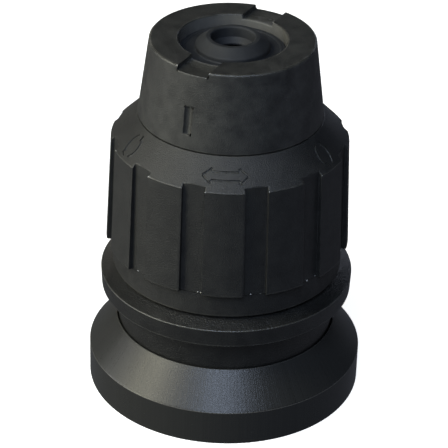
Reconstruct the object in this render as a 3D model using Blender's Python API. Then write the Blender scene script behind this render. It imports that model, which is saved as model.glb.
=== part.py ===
"""Quick-change hammer drill chuck for 10 mm slotted shanks, standing on its rear rim.

+Z is the tool axis and points out of the nose. The index mark on the nose cap is at -Y.
The origin is on the axis, in the plane of the rear rim. Lengths below are written in
millimetres and scaled to metres by MM.
"""

import math

import bmesh
import bpy

MM = 0.001
GAP = 0.3 * MM  # clearance left between neighbouring pieces

# Driving dimensions
SHANK_BORE_RADIUS = 5.2 * MM
SOCKET_RADIUS = 13.0 * MM
BARREL_RADIUS = 17.0 * MM
BASE_RADIUS = 31.0 * MM
FLANGE_RADIUS = 28.3 * MM
NECK_RADIUS = 24.4 * MM
COLLAR_RADIUS = 26.2 * MM
NOSE_RADIUS = 18.0 * MM
BALL_RADIUS = 3.5 * MM
SLEEVE_TRAVEL = 5.0 * MM
LOCK_BALL_TRAVEL = 1.5 * MM
COUPLING_BALL_TRAVEL = 1.7 * MM
COLLAR_LANDS = 12
COLLAR_REST = math.radians(-4.0)  # where the collar stands, from its middle position
TURN_TO_LOCKED = math.radians(34.0)
TURN_TO_FREE = math.radians(26.0)

# Heights along the axis
HOLDER_REAR = 0.3 * MM
HOOD_WEB_BOTTOM = 2.9 * MM
HOOD_WEB_TOP = 5.9 * MM
HOOD_BAND_TOP = 8.15 * MM
HOOD_TOP = 15.7 * MM
SKIRT_BOTTOM = 13.2 * MM
TUBE_BOTTOM = 18.7 * MM
SLEEVE_SEAT = 20.0 * MM
FLANGE_BOTTOM = 23.8 * MM
FLANGE_TOP = 27.9 * MM
COLLAR_BOTTOM = 30.2 * MM
LAND_BOTTOM = 35.7 * MM
SLEEVE_TOP = COLLAR_BOTTOM + SLEEVE_TRAVEL + 3.6 * MM  # stays inside the collar when pulled back
CAM_BOTTOM = SLEEVE_TOP + 0.4 * MM
CAM_TOP = CAM_BOTTOM + 7.5 * MM
COUPLING_BALL_HEIGHT = (CAM_BOTTOM + CAM_TOP) / 2
SOCKET_END = 47.2 * MM
BARREL_TOP = 50.4 * MM
LOCK_RING_BOTTOM = BARREL_TOP + SLEEVE_TRAVEL + 0.5 * MM
LOCK_BALL_HEIGHT = 58.6 * MM
TUBE_TOP = 59.6 * MM
LOCK_RING_TOP = 64.5 * MM
LAND_TOP = 60.9 * MM
SPIGOT_BOTTOM = 61.5 * MM
COLLAR_CIRCLIP_HEIGHT = 62.5 * MM
COLLAR_LIP_BOTTOM = 63.9 * MM
DETENT_GROOVE_HEIGHT = 64.8 * MM
COLLAR_TOP = 66.7 * MM
NOSE_BOTTOM = 67.0 * MM
WASHER_STEP = 67.6 * MM
NOSE_SHOULDER = 69.5 * MM
SNAP_RING_HEIGHT = 77.6 * MM
HOLDER_FRONT = 80.1 * MM
RECESS_FLOOR = 82.1 * MM
NOSE_FACE = 84.6 * MM
SEAL_TOP = 85.0 * MM

# Radii that several pieces share
NOSE_BORE_RADIUS = 9.2 * MM
HOLDER_NECK_RADIUS = 9.5 * MM
HOLDER_NOSE_RADIUS = 8.9 * MM
SPIGOT_RADIUS = 18.0 * MM
SPIGOT_INNER_RADIUS = 14.7 * MM
RECESS_RADIUS = 11.85 * MM
TUBE_RADIUS = 18.2 * MM
TUBE_INNER_RADIUS = TUBE_RADIUS - 0.9 * MM
CAM_RING_RADIUS = 22.6 * MM
CAM_LUG_RADIUS = 23.8 * MM
CAM_LUG_HALF_ANGLE = math.radians(6.0)

CIRCLIP_THICKNESS = 1.1 * MM

OUTER_SEGMENTS = 48
INNER_SEGMENTS = 36
RING_SEGMENTS = 28
HOLE_SEGMENTS = 16

BLACK_NYLON = ((0.020, 0.021, 0.022, 1.0), 0.50, 0.0)
SATIN_BLACK = ((0.026, 0.027, 0.029, 1.0), 0.38, 0.0)
BLACK_RUBBER = ((0.016, 0.016, 0.017, 1.0), 0.70, 0.0)
BLACK_OXIDE_STEEL = ((0.050, 0.048, 0.046, 1.0), 0.42, 0.9)
HARDENED_STEEL = ((0.42, 0.42, 0.43, 1.0), 0.28, 1.0)
BALL_STEEL = ((0.62, 0.62, 0.63, 1.0), 0.12, 1.0)
SPRING_STEEL = ((0.30, 0.29, 0.28, 1.0), 0.32, 1.0)


def clear_scene():
    for old in list(bpy.data.objects):
        bpy.data.objects.remove(old)


def new_collection(name):
    collection = bpy.data.collections.new(name)
    bpy.context.scene.collection.children.link(collection)
    return collection


def move_to(obj, collection):
    for owner in list(obj.users_collection):
        owner.objects.unlink(obj)
    collection.objects.link(obj)


def paint(obj, finish):
    colour, roughness, metallic = finish
    material = bpy.data.materials.new(obj.name)
    material.use_nodes = True
    shader = material.node_tree.nodes["Principled BSDF"]
    shader.inputs["Base Color"].default_value = colour
    shader.inputs["Roughness"].default_value = roughness
    shader.inputs["Metallic"].default_value = metallic
    obj.data.materials.clear()
    obj.data.materials.append(material)


def radial(azimuth, radius, height=0.0):
    """A point at an azimuth measured from -Y towards +X."""
    return (radius * math.sin(azimuth), -radius * math.cos(azimuth), height)


def smooth(mesh):
    mesh.shade_smooth()
    mesh.set_sharp_from_angle(angle=math.radians(30.0))


def turned(name, profile, segments):
    """A ring or bush turned from a closed profile of (radius, height) points."""
    shape = bmesh.new()
    points = [shape.verts.new((radius, 0.0, height)) for radius, height in profile]
    edges = [shape.edges.new((point, points[i - 1])) for i, point in enumerate(points)]
    bmesh.ops.spin(
        shape,
        geom=points + edges,
        cent=(0.0, 0.0, 0.0),
        axis=(0.0, 0.0, 1.0),
        angle=math.tau,
        steps=segments,
        use_merge=True,
    )
    bmesh.ops.recalc_face_normals(shape, faces=shape.faces)
    mesh = bpy.data.meshes.new(name)
    shape.to_mesh(mesh)
    shape.free()
    smooth(mesh)
    obj = bpy.data.objects.new(name, mesh)
    parts.objects.link(obj)
    return obj


def arc(centre, radius, start_deg, end_deg, count):
    """Points (radius, height) along an arc in a profile."""
    angles = [math.radians(start_deg + (end_deg - start_deg) * i / count) for i in range(count + 1)]
    return [(centre[0] + radius * math.cos(a), centre[1] + radius * math.sin(a)) for a in angles]


def prism(name, outlines, bottom, top):
    """A flat outline, or an outline with holes, extruded from bottom to top."""
    curve = bpy.data.curves.new(name, "CURVE")
    curve.dimensions = "2D"
    curve.fill_mode = "BOTH"
    curve.extrude = (top - bottom) / 2
    for outline in outlines:
        spline = curve.splines.new("POLY")
        spline.points.add(len(outline) - 1)
        for point, (x, y) in zip(spline.points, outline):
            point.co = (x, y, 0.0, 1.0)
        spline.use_cyclic_u = True
    obj = bpy.data.objects.new(name, curve)
    obj.location = (0.0, 0.0, (bottom + top) / 2)
    parts.objects.link(obj)
    return obj


def as_mesh(obj):
    """Replaces a curve object with a closed mesh, so that it can be cut or be a cutter."""
    bpy.context.view_layer.update()
    evaluated = obj.evaluated_get(bpy.context.evaluated_depsgraph_get())
    mesh = bpy.data.meshes.new_from_object(evaluated)
    welded = bmesh.new()
    welded.from_mesh(mesh)
    bmesh.ops.remove_doubles(welded, verts=welded.verts, dist=0.000005)
    bmesh.ops.recalc_face_normals(welded, faces=welded.faces)
    welded.to_mesh(mesh)
    welded.free()
    name = obj.name
    placed = obj.matrix_world.copy()
    bpy.data.objects.remove(obj)
    made = bpy.data.objects.new(name, mesh)
    made.matrix_world = placed
    parts.objects.link(made)
    return made


def box(name, size, location, azimuth=0.0, tilt=0.0):
    """A box whose local Y is radial at the azimuth, tipped about its local X."""
    bpy.ops.mesh.primitive_cube_add(size=1.0, location=location, rotation=(tilt, 0.0, azimuth))
    obj = bpy.context.object
    obj.name = name
    obj.scale = size
    return obj


def cylinder_along(name, radius, length, azimuth, mid_radius, height):
    """A cylinder lying on a radius of the chuck."""
    bpy.ops.mesh.primitive_cylinder_add(
        vertices=HOLE_SEGMENTS,
        radius=radius,
        depth=length,
        location=radial(azimuth, mid_radius, height),
        rotation=(math.pi / 2, 0.0, azimuth),
    )
    obj = bpy.context.object
    obj.name = name
    return obj


def join(obj, tool, operation="DIFFERENCE"):
    """Cuts a tool out of a piece, or adds it, and puts the tool away."""
    boolean = obj.modifiers.new(tool.name, "BOOLEAN")
    boolean.object = tool
    boolean.operation = operation
    boolean.solver = "EXACT"
    move_to(tool, cutters)
    tool.hide_render = True
    tool.display_type = "WIRE"


def circle(radius, count, start=0.0, sweep=math.tau):
    """Points of a circle, or of an arc that starts at an azimuth."""
    steps = count if sweep == math.tau else count - 1
    return [radial(start + sweep * i / steps, radius)[:2] for i in range(count)]


def split_ring(name, inner, outer, gap_deg, bottom, middle_deg):
    """A flat C-shaped snap ring, open at an azimuth."""
    sweep = math.radians(360.0 - gap_deg)
    start = math.radians(middle_deg + gap_deg / 2)
    outline = circle(outer, RING_SEGMENTS, start, sweep) + circle(inner, RING_SEGMENTS, start, sweep)[::-1]
    ring = prism(name, [outline], bottom, bottom + CIRCLIP_THICKNESS)
    paint(ring, SPRING_STEEL)


def washer(name, inner, outer, bottom, top):
    ring = turned(name, [(inner, top), (outer, top), (outer, bottom), (inner, bottom)], RING_SEGMENTS)
    paint(ring, HARDENED_STEEL)


def seal_ring(name, ring_radius, section_radius, height):
    bpy.ops.mesh.primitive_torus_add(
        major_radius=ring_radius,
        minor_radius=section_radius,
        major_segments=RING_SEGMENTS,
        minor_segments=6,
        location=(0.0, 0.0, height),
    )
    ring = bpy.context.object
    ring.name = name
    move_to(ring, parts)
    smooth(ring.data)
    paint(ring, BLACK_RUBBER)


def ball(name, azimuth, centre_radius, height):
    bpy.ops.mesh.primitive_uv_sphere_add(
        segments=12, ring_count=8, radius=BALL_RADIUS, location=radial(azimuth, centre_radius, height)
    )
    made = bpy.context.object
    made.name = name
    move_to(made, parts)
    smooth(made.data)
    paint(made, BALL_STEEL)


# ---- the holder and what is fixed to it ----

LOCK_BALL_CENTRE = 7.1 * MM
LOCK_BALL_AZIMUTHS = (math.radians(90.0), math.radians(270.0))
COUPLING_BALL_LOCKED = 15.0 * MM
CAM_RISE = COUPLING_BALL_TRAVEL / (TURN_TO_LOCKED + TURN_TO_FREE)
COUPLING_BALL_CENTRE = COUPLING_BALL_LOCKED + CAM_RISE * TURN_TO_LOCKED
COUPLING_BALL_AZIMUTHS = [math.radians(60.0 + 120.0 * i) for i in range(3)]
BALL_HOLE_RADIUS = BALL_RADIUS + GAP
LOWER_CIRCLIP_HEIGHT = 1.5 * MM
UPPER_CIRCLIP_HEIGHT = HOOD_WEB_TOP + GAP
CIRCLIP_GROOVE_RADIUS = 16.0 * MM
GREASE_SEAL_HEIGHT = 26.0 * MM
SOCKET_SEAL_HEIGHT = 7.0 * MM


def groove(bottom, floor, surface, thickness):
    """Profile points of a rectangular groove in an outer surface, from its top down."""
    top = bottom + thickness + 0.1 * MM
    low = bottom - 0.1 * MM
    return [(surface, top), (floor, top), (floor, low), (surface, low)]


def make_tool_holder():
    chamfer = 0.8 * MM
    front = [
        (SHANK_BORE_RADIUS, HOLDER_FRONT - chamfer),
        (SHANK_BORE_RADIUS + chamfer, HOLDER_FRONT),
        (HOLDER_NOSE_RADIUS - 0.4 * MM, HOLDER_FRONT),
        (HOLDER_NOSE_RADIUS, HOLDER_FRONT - 0.4 * MM),
    ]
    snap_groove = groove(SNAP_RING_HEIGHT, 7.7 * MM, HOLDER_NOSE_RADIUS, CIRCLIP_THICKNESS)
    step = [
        (HOLDER_NOSE_RADIUS, WASHER_STEP),
        (HOLDER_NECK_RADIUS, WASHER_STEP),
        (HOLDER_NECK_RADIUS, BARREL_TOP + chamfer),
        (HOLDER_NECK_RADIUS + chamfer, BARREL_TOP),
        (BARREL_RADIUS - chamfer, BARREL_TOP),
        (BARREL_RADIUS, BARREL_TOP - chamfer),
    ]
    grease_groove = [
        (BARREL_RADIUS, GREASE_SEAL_HEIGHT + 0.95 * MM),
        (BARREL_RADIUS - 1.6 * MM, GREASE_SEAL_HEIGHT + 0.95 * MM),
        (BARREL_RADIUS - 1.6 * MM, GREASE_SEAL_HEIGHT - 0.95 * MM),
        (BARREL_RADIUS, GREASE_SEAL_HEIGHT - 0.95 * MM),
    ]
    upper_groove = groove(UPPER_CIRCLIP_HEIGHT, CIRCLIP_GROOVE_RADIUS, BARREL_RADIUS, CIRCLIP_THICKNESS)
    lower_groove = groove(LOWER_CIRCLIP_HEIGHT, CIRCLIP_GROOVE_RADIUS, BARREL_RADIUS, CIRCLIP_THICKNESS)
    rear = [
        (BARREL_RADIUS, HOLDER_REAR),
        (SOCKET_RADIUS + chamfer, HOLDER_REAR),
        (SOCKET_RADIUS, HOLDER_REAR + chamfer),
    ]
    seal_groove = [
        (SOCKET_RADIUS, SOCKET_SEAL_HEIGHT - 1.3 * MM),
        (SOCKET_RADIUS + 1.5 * MM, SOCKET_SEAL_HEIGHT - 1.3 * MM),
        (SOCKET_RADIUS + 1.5 * MM, SOCKET_SEAL_HEIGHT + 1.3 * MM),
        (SOCKET_RADIUS, SOCKET_SEAL_HEIGHT + 1.3 * MM),
    ]
    striker_throat = [
        (SOCKET_RADIUS, SOCKET_END - chamfer),
        (SOCKET_RADIUS - chamfer, SOCKET_END),
        (7.5 * MM, SOCKET_END),
        (SHANK_BORE_RADIUS, SOCKET_END + 3.0 * MM),
    ]
    outside = front + snap_groove + step + grease_groove + upper_groove + lower_groove
    profile = outside + rear + seal_groove + striker_throat
    holder = turned("tool_holder", profile, INNER_SEGMENTS)
    key_height = 30.0 * MM
    for side, azimuth in enumerate((0.0, math.pi)):
        key = box(
            f"drive_key_{side + 1}",
            (3.0 * MM, 3.0 * MM, key_height),
            radial(azimuth, 5.4 * MM, 48.0 * MM + key_height / 2),
            azimuth,
        )
        join(holder, key, "UNION")
    for number, azimuth in enumerate(LOCK_BALL_AZIMUTHS, 1):
        hole = cylinder_along(
            f"lock_ball_hole_{number}", BALL_HOLE_RADIUS, 9.0 * MM, azimuth, 7.5 * MM, LOCK_BALL_HEIGHT
        )
        join(holder, hole)
    for number, azimuth in enumerate(COUPLING_BALL_AZIMUTHS, 1):
        hole = cylinder_along(
            f"coupling_ball_hole_{number}",
            BALL_HOLE_RADIUS,
            10.0 * MM,
            azimuth,
            BARREL_RADIUS,
            COUPLING_BALL_HEIGHT,
        )
        join(holder, hole)
    spline_length = 22.0 * MM
    for number in range(6):
        azimuth = math.radians(60.0 * number)
        slot = box(
            f"spline_slot_{number + 1}",
            (4.0 * MM, 3.5 * MM, spline_length),
            radial(azimuth, 12.7 * MM, 10.0 * MM + spline_length / 2),
            azimuth,
        )
        join(holder, slot)
    paint(holder, BLACK_OXIDE_STEEL)


NOSE_SLOPE = math.atan2(20.2 * MM - NOSE_RADIUS, NOSE_FACE - NOSE_BOTTOM)


def make_nose_cap():
    edge = 0.8 * MM
    outer = arc((NOSE_RADIUS - edge, NOSE_FACE - edge), edge, 90, 8, 3)
    lower = arc((19.2 * MM, NOSE_BOTTOM + 1.0 * MM), 1.0 * MM, 0, -90, 3)
    detent_groove = groove(DETENT_GROOVE_HEIGHT, 16.9 * MM, SPIGOT_RADIUS, 1.0 * MM)
    circlip_groove = groove(COLLAR_CIRCLIP_HEIGHT, 17.0 * MM, SPIGOT_RADIUS, CIRCLIP_THICKNESS)
    profile = (
        [(RECESS_RADIUS, NOSE_FACE)]
        + outer
        + lower
        + [(SPIGOT_RADIUS, NOSE_BOTTOM)]
        + detent_groove
        + circlip_groove
        + [
            (SPIGOT_RADIUS, SPIGOT_BOTTOM),
            (SPIGOT_INNER_RADIUS, SPIGOT_BOTTOM),
            (SPIGOT_INNER_RADIUS, NOSE_SHOULDER),
            (NOSE_BORE_RADIUS, NOSE_SHOULDER),
            (NOSE_BORE_RADIUS, SNAP_RING_HEIGHT - GAP),
            (RECESS_RADIUS, SNAP_RING_HEIGHT - GAP),
        ]
    )
    cap = turned("nose_cap", profile, OUTER_SEGMENTS)
    channel_floor = NOSE_FACE - 1.0 * MM
    channel = box("face_channel", (7.4 * MM, 44.0 * MM, 4.0 * MM), (0.0, 0.0, channel_floor + 2.0 * MM))
    join(cap, channel)
    mark_height = 73.6 * MM
    mark_radius = 20.2 * MM - (mark_height - NOSE_BOTTOM) * math.tan(NOSE_SLOPE)
    mark_place = radial(0.0, mark_radius, mark_height)
    mark = box("index_mark", (2.0 * MM, 1.2 * MM, 6.8 * MM), mark_place, 0.0, -NOSE_SLOPE)
    join(cap, mark)
    paint(cap, BLACK_NYLON)


def make_dust_seal():
    boss = 8.1 * MM
    lip = 4.95 * MM
    flange = RECESS_RADIUS - 0.35 * MM
    profile = [
        (lip, SEAL_TOP - 0.5 * MM),
        (lip + 0.4 * MM, SEAL_TOP),
        (lip + 0.9 * MM, SEAL_TOP - 0.05 * MM),
        (boss - 0.5 * MM, RECESS_FLOOR + 1.0 * MM),
        (boss, RECESS_FLOOR),
        (flange, RECESS_FLOOR),
        (flange, HOLDER_FRONT + GAP),
        (6.8 * MM, HOLDER_FRONT + GAP),
        (6.4 * MM, RECESS_FLOOR + 0.2 * MM),
        (lip, RECESS_FLOOR + 1.4 * MM),
    ]
    paint(turned("dust_seal", profile, INNER_SEGMENTS), BLACK_RUBBER)


HOOD_BORE_RADIUS = NECK_RADIUS + 0.4 * MM


def make_base_hood():
    edge = 0.5 * MM
    rim_inner = 28.0 * MM
    profile = [
        (HOOD_BORE_RADIUS, HOOD_TOP),
        (HOOD_BORE_RADIUS + 0.1 * MM, HOOD_TOP),
        (BASE_RADIUS - 0.25 * MM, HOOD_BAND_TOP + 0.2 * MM),
        (BASE_RADIUS, HOOD_BAND_TOP - 0.15 * MM),
        (BASE_RADIUS, edge),
        (BASE_RADIUS - edge, 0.0),
        (rim_inner, 0.0),
        (rim_inner, HOOD_WEB_BOTTOM),
        (BARREL_RADIUS + GAP, HOOD_WEB_BOTTOM),
        (BARREL_RADIUS + GAP, HOOD_WEB_TOP),
        (HOOD_BORE_RADIUS, HOOD_WEB_TOP),
    ]
    paint(turned("base_hood", profile, OUTER_SEGMENTS), SATIN_BLACK)


DETENT_AZIMUTHS = (math.radians(90.0), math.radians(270.0))
DETENT_BUMP = 18.8 * MM


def make_detent_spring():
    """A bent wire ring in the nose cap's groove, with two bumps that click into the collar."""
    sweep = math.radians(330.0)
    start = math.radians(195.0)
    count = 55
    outer = []
    for i in range(count):
        azimuth = start + sweep * i / (count - 1)
        off = min(abs(math.remainder(azimuth - bump, math.tau)) for bump in DETENT_AZIMUTHS)
        rise = math.cos(min(off / math.radians(7.0), 1.0) * math.pi / 2) ** 2
        outer.append(radial(azimuth, 17.75 * MM + rise * (DETENT_BUMP - 17.75 * MM))[:2])
    inner = circle(17.2 * MM, count, start, sweep)[::-1]
    top = DETENT_GROOVE_HEIGHT + 1.0 * MM
    paint(prism("detent_spring", [outer + inner], DETENT_GROOVE_HEIGHT, top), SPRING_STEEL)


def make_fixed_rings():
    split_ring("nose_snap_ring", 8.0 * MM, 10.9 * MM, 40, SNAP_RING_HEIGHT, 0)
    split_ring("collar_circlip", 17.3 * MM, 19.4 * MM, 30, COLLAR_CIRCLIP_HEIGHT, 180)
    split_ring("hood_circlip_lower", 16.3 * MM, 18.5 * MM, 30, LOWER_CIRCLIP_HEIGHT, 0)
    split_ring("hood_circlip_upper", 16.3 * MM, 18.5 * MM, 30, UPPER_CIRCLIP_HEIGHT, 0)
    washer("front_stop_washer", NOSE_BORE_RADIUS, 14.3 * MM, WASHER_STEP + GAP, NOSE_SHOULDER - GAP)
    seal_ring("socket_seal_ring", 13.25 * MM, 0.95 * MM, SOCKET_SEAL_HEIGHT)
    seal_ring("grease_seal_ring", 16.35 * MM, 0.6 * MM, GREASE_SEAL_HEIGHT)


# ---- the release sleeve, which slides back against its spring ----

SPRING_SEAT_TOP = HOOD_WEB_TOP + 1.1 * MM
SPRING_BOTTOM = SPRING_SEAT_TOP + GAP
SPRING_TOP = TUBE_BOTTOM - GAP
SPRING_WIRE_RADIUS = 0.7 * MM
SPRING_COIL_RADIUS = 20.2 * MM


def make_return_spring():
    washer("spring_seat_washer", 18.9 * MM, 22.0 * MM, HOOD_WEB_TOP + GAP, SPRING_SEAT_TOP)
    turns = 3.0
    per_turn = 18
    count = int(turns * per_turn) + 1
    low = SPRING_BOTTOM + SPRING_WIRE_RADIUS
    high = SPRING_TOP - SPRING_WIRE_RADIUS
    curve = bpy.data.curves.new("return_spring", "CURVE")
    curve.dimensions = "3D"
    curve.bevel_depth = SPRING_WIRE_RADIUS
    curve.bevel_resolution = 2
    curve.use_fill_caps = True
    spline = curve.splines.new("POLY")
    spline.points.add(count - 1)
    for i, point in enumerate(spline.points):
        share = i / (count - 1)
        point.co = (*radial(math.tau * turns * share, SPRING_COIL_RADIUS, low + (high - low) * share), 1.0)
    spring = bpy.data.objects.new("return_spring", curve)
    parts.objects.link(spring)
    paint(spring, SPRING_STEEL)


def make_pull_tube():
    thick = 1.0 * MM
    profile = [
        (16.2 * MM, TUBE_TOP),
        (TUBE_RADIUS, TUBE_TOP),
        (TUBE_RADIUS, TUBE_BOTTOM + thick),
        (21.0 * MM, TUBE_BOTTOM + thick),
        (21.0 * MM, TUBE_BOTTOM),
        (TUBE_INNER_RADIUS, TUBE_BOTTOM),
        (TUBE_INNER_RADIUS, TUBE_TOP - 0.9 * MM),
        (16.2 * MM, TUBE_TOP - 0.9 * MM),
    ]
    tube = turned("pull_tube", profile, INNER_SEGMENTS)
    window_height = 2 * (BALL_RADIUS + 0.5 * MM) + SLEEVE_TRAVEL
    middle = COUPLING_BALL_HEIGHT + SLEEVE_TRAVEL / 2
    for number, azimuth in enumerate(COUPLING_BALL_AZIMUTHS, 1):
        window = box(
            f"ball_window_{number}",
            (2 * (BALL_RADIUS + 0.5 * MM), 4.0 * MM, window_height),
            radial(azimuth, TUBE_RADIUS, middle),
            azimuth,
        )
        join(tube, window)
    paint(tube, HARDENED_STEEL)


def make_lock_ring():
    """The cone lets the lock balls out in step with the sleeve's travel."""
    slope = math.atan2(LOCK_BALL_TRAVEL, SLEEVE_TRAVEL)
    at_ball = LOCK_BALL_CENTRE + (BALL_RADIUS + GAP) / math.cos(slope)

    def cone(height):
        return at_ball + (height - LOCK_BALL_HEIGHT) * math.tan(slope)

    flange_top = TUBE_TOP - 0.9 * MM - GAP
    profile = [
        (cone(LOCK_RING_TOP), LOCK_RING_TOP),
        (14.3 * MM, LOCK_RING_TOP),
        (14.3 * MM, flange_top),
        (TUBE_INNER_RADIUS - GAP, flange_top),
        (TUBE_INNER_RADIUS - GAP, LOCK_RING_BOTTOM),
        (cone(LOCK_RING_BOTTOM), LOCK_RING_BOTTOM),
    ]
    paint(turned("lock_ring", profile, INNER_SEGMENTS), HARDENED_STEEL)


def make_release_sleeve():
    skirt_inner = NECK_RADIUS - 2.1 * MM
    profile = [
        (skirt_inner, SLEEVE_TOP),
        (NECK_RADIUS - 0.3 * MM, SLEEVE_TOP),
        (NECK_RADIUS, SLEEVE_TOP - 0.3 * MM),
        (NECK_RADIUS, FLANGE_TOP + 1.5 * MM),
        (FLANGE_RADIUS - 0.3 * MM, FLANGE_TOP + 0.05 * MM),
        (FLANGE_RADIUS, FLANGE_TOP - 0.3 * MM),
        (FLANGE_RADIUS - 0.2 * MM, FLANGE_BOTTOM + 0.3 * MM),
        (FLANGE_RADIUS - 0.5 * MM, FLANGE_BOTTOM),
        (NECK_RADIUS, FLANGE_BOTTOM - 0.3 * MM),
        (NECK_RADIUS, SKIRT_BOTTOM),
        (skirt_inner, SKIRT_BOTTOM),
        (skirt_inner, SLEEVE_SEAT),
        (TUBE_RADIUS + GAP, SLEEVE_SEAT),
        (TUBE_RADIUS + GAP, FLANGE_TOP),
        (skirt_inner, FLANGE_TOP + 3.0 * MM),
    ]
    paint(turned("release_sleeve", profile, OUTER_SEGMENTS), BLACK_NYLON)


# ---- the grip collar, which turns to lock the coupling balls ----


def land_azimuth(number):
    return COLLAR_REST + math.tau * number / COLLAR_LANDS


def make_grip_collar():
    lip_radius = 26.1 * MM
    land_low = 27.2 * MM
    cam_pocket = CAM_RING_RADIUS + GAP
    profile = [
        (SPIGOT_RADIUS + GAP, COLLAR_TOP),
        (COLLAR_RADIUS - (COLLAR_TOP - LAND_TOP), COLLAR_TOP),
        (COLLAR_RADIUS - 0.3 * MM, LAND_TOP + 0.3 * MM),
        (COLLAR_RADIUS, LAND_TOP - 0.2 * MM),
        (land_low, LAND_BOTTOM + 0.2 * MM),
        (land_low - 0.3 * MM, LAND_BOTTOM),
        (lip_radius, LAND_BOTTOM),
        (lip_radius, COLLAR_BOTTOM + 0.4 * MM),
        (lip_radius - 0.4 * MM, COLLAR_BOTTOM),
        (NECK_RADIUS + GAP, COLLAR_BOTTOM),
        (NECK_RADIUS + GAP, CAM_BOTTOM - 0.2 * MM),
        (cam_pocket, CAM_BOTTOM - 0.2 * MM),
        (cam_pocket, CAM_TOP + GAP),
        (21.8 * MM, CAM_TOP + GAP),
        (21.8 * MM, 58.5 * MM),
        (19.8 * MM, 61.0 * MM),
        (19.8 * MM, COLLAR_LIP_BOTTOM),
        (SPIGOT_RADIUS + GAP, COLLAR_LIP_BOTTOM),
    ]
    collar = turned("grip_collar", profile, OUTER_SEGMENTS)

    # Slots between the lands, whose floors lean with the lands
    slot_width = 5.0 * MM
    slot_depth = 4.0 * MM
    floor_low = 25.95 * MM
    floor_high = 25.25 * MM
    slot_bottom = LAND_BOTTOM + 0.2 * MM
    slot_top = 64.0 * MM
    lean = math.atan2(floor_low - floor_high, LAND_TOP - LAND_BOTTOM)
    mid_height = (slot_bottom + slot_top) / 2
    mid_floor = floor_low - (mid_height - LAND_BOTTOM) * math.tan(lean)
    for number in range(COLLAR_LANDS):
        azimuth = land_azimuth(number + 0.5)
        slot = box(
            f"grip_slot_{number + 1}",
            (slot_width, slot_depth, (slot_top - slot_bottom) / math.cos(lean)),
            radial(azimuth, mid_floor + slot_depth / 2 / math.cos(lean), mid_height),
            azimuth,
            -lean,
        )
        join(collar, slot)

    # Pockets that the cam ring's lugs key into, under every fourth land
    lug_width = 2 * math.sin(CAM_LUG_HALF_ANGLE) * CAM_LUG_RADIUS
    pocket_size = (lug_width + 2 * GAP, 4.0 * MM, CAM_TOP - CAM_BOTTOM + 2 * GAP)
    for number in range(3):
        azimuth = land_azimuth(4 * number)
        place = radial(azimuth, CAM_LUG_RADIUS + GAP - pocket_size[1] / 2, COUPLING_BALL_HEIGHT)
        join(collar, box(f"lug_pocket_{number + 1}", pocket_size, place, azimuth))

    # Tracks for the detent bumps, with a notch at each end
    track_radius = DETENT_BUMP + GAP
    notch_radius = track_radius + 0.5 * MM
    bump_width = math.radians(7.0)
    for number, bump in enumerate(DETENT_AZIMUTHS, 1):
        start = bump - TURN_TO_LOCKED - bump_width
        sweep = TURN_TO_LOCKED + TURN_TO_FREE + 2 * bump_width
        outline = []
        count = 25
        for i in range(count):
            azimuth = start + sweep * i / (count - 1)
            in_notch = min(i, count - 1 - i) * sweep / (count - 1) < 1.5 * bump_width
            outline.append(radial(azimuth, notch_radius if in_notch else track_radius)[:2])
        outline += circle(16.0 * MM, 9, start, sweep)[::-1]
        track = as_mesh(prism(f"detent_track_{number}", [outline], COLLAR_LIP_BOTTOM - 1.0 * MM, 66.0 * MM))
        join(collar, track)
    paint(collar, BLACK_NYLON)


def make_cam_ring():
    """Its inner outline is a spiral at each ball, so that a ball moves out steadily as the collar turns."""
    at_rest = COUPLING_BALL_CENTRE + BALL_RADIUS + GAP
    margin = math.radians(12.0)
    low = -TURN_TO_LOCKED - margin
    high = TURN_TO_FREE + margin
    spiral_steps = 14
    return_steps = 5
    inner = []
    outer = []
    for home in COUPLING_BALL_AZIMUTHS:
        for i in range(spiral_steps):
            turn = low + (high - low) * i / spiral_steps
            inner.append(radial(home + turn, at_rest + CAM_RISE * turn)[:2])
        for i in range(return_steps):
            share = i / return_steps
            azimuth = home + high + (math.radians(120.0) - high + low) * share
            inner.append(radial(azimuth, at_rest + CAM_RISE * (high + (low - high) * share))[:2])
    for number in range(3):
        lug = land_azimuth(4 * number)
        start = lug + CAM_LUG_HALF_ANGLE
        sweep = math.radians(120.0) - 2 * CAM_LUG_HALF_ANGLE
        outer += circle(CAM_LUG_RADIUS, 3, lug - CAM_LUG_HALF_ANGLE, 2 * CAM_LUG_HALF_ANGLE)
        outer += circle(CAM_RING_RADIUS, 13, start, sweep)
    paint(prism("cam_ring", [outer, inner], CAM_BOTTOM, CAM_TOP), HARDENED_STEEL)


def make_balls():
    for number, azimuth in enumerate(LOCK_BALL_AZIMUTHS, 1):
        ball(f"lock_ball_{number}", azimuth, LOCK_BALL_CENTRE, LOCK_BALL_HEIGHT)
    for number, azimuth in enumerate(COUPLING_BALL_AZIMUTHS, 1):
        ball(f"coupling_ball_{number}", azimuth, COUPLING_BALL_CENTRE, COUPLING_BALL_HEIGHT)


clear_scene()
parts = new_collection("drill_chuck")
cutters = new_collection("cutters")
make_tool_holder()
make_nose_cap()
make_dust_seal()
make_base_hood()
make_detent_spring()
make_fixed_rings()
make_return_spring()
make_pull_tube()
make_lock_ring()
make_release_sleeve()
make_grip_collar()
make_cam_ring()
make_balls()
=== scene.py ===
import math
import random

import bmesh
import bpy
from mathutils import Matrix, Vector


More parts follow.
